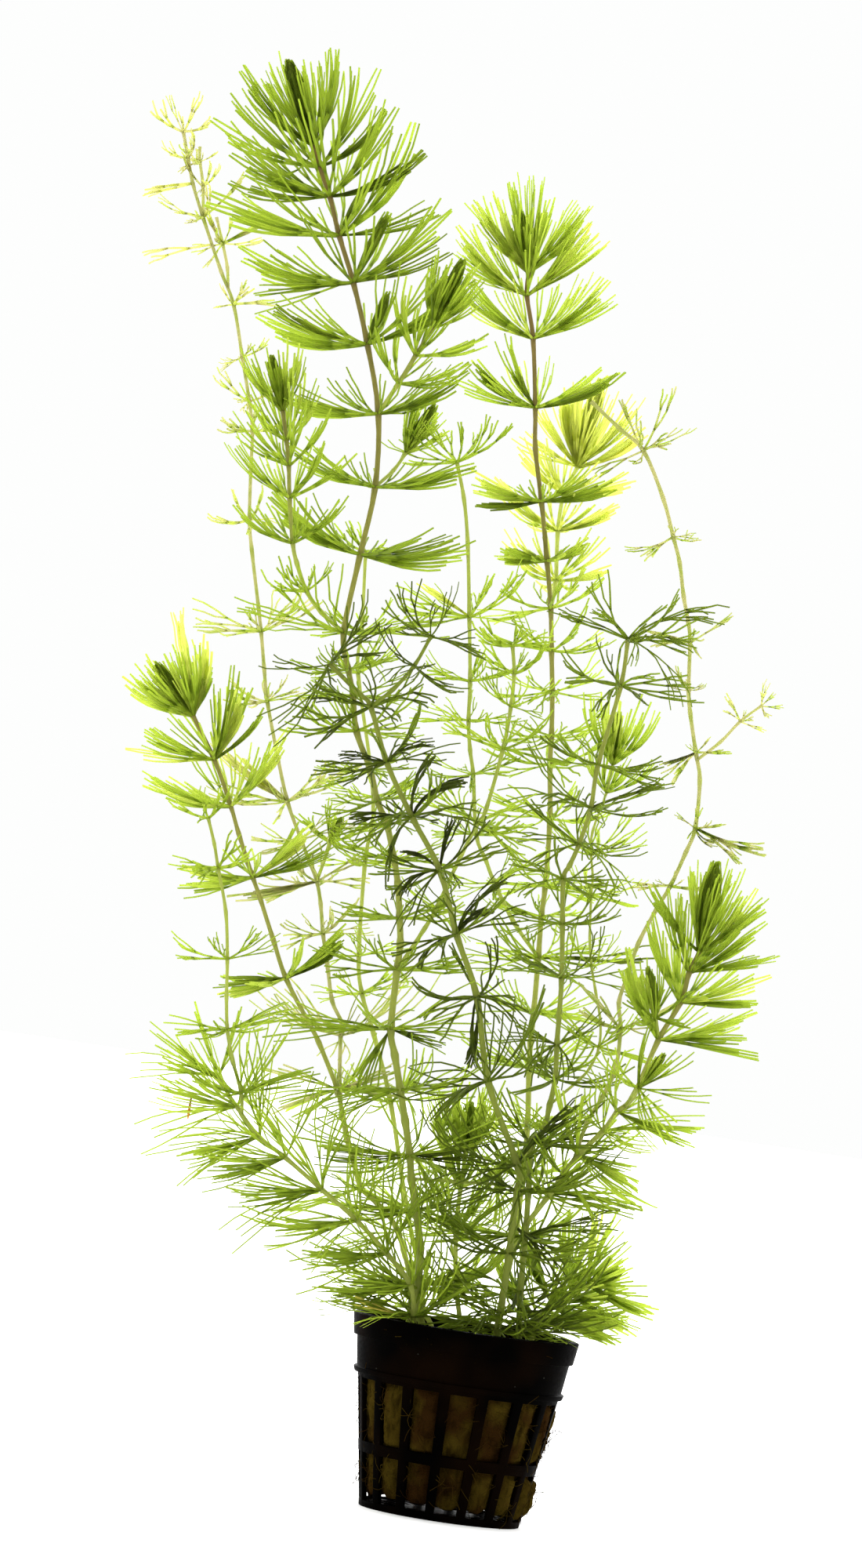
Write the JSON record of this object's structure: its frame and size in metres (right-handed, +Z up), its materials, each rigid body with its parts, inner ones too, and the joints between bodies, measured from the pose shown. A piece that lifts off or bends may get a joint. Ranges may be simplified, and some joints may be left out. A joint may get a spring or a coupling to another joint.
{
  "type": "potted hornwort",
  "caption": "Hornwort aquarium plant: slender stems with whorls of forked needle leaves and dense bud tips, rooted in rock wool in a slotted black net pot.",
  "frame": {"origin": "middle of the net pot's foot, on the surface it stands on", "axes": "+Z up along the pot's axis, -Y towards the viewer of the front; the stems lean towards -X"},
  "size_m": [0.1748, 0.0813, 0.3451],
  "materials": {
    "black_plastic": "satin",
    "rock_wool": "matte",
    "green_leaves": "satin",
    "pale_leaves": "satin",
    "dark_leaves": "satin"
  },
  "bodies": {
    "root": {"net_pot": "black_plastic", "rock_wool": "rock_wool", "tall_stem": "green_leaves", "left_branch": "green_leaves", "right_branch": "green_leaves", "small_branch": "green_leaves", "cross_twig": "green_leaves", "cross_stem": "green_leaves", "front_stem": "dark_leaves", "front_branch": "dark_leaves", "low_left_stem": "green_leaves", "low_left_branch": "green_leaves", "left_plume": "green_leaves", "left_side_shoot": "green_leaves", "far_left_stem": "pale_leaves", "far_left_twig": "pale_leaves", "far_left_lower_twig": "pale_leaves", "right_stem": "green_leaves", "yellow_branch": "pale_leaves", "centre_stem": "green_leaves", "dark_stem": "dark_leaves", "slim_right_stem": "pale_leaves", "right_plume": "green_leaves", "upper_side_shoot": "green_leaves", "lower_side_shoot": "green_leaves", "far_right_stem": "pale_leaves", "far_right_twig": "pale_leaves", "back_stem": "pale_leaves", "young_shoot": "pale_leaves", "low_right_plume": "pale_leaves"}
  },
  "joints": []
}
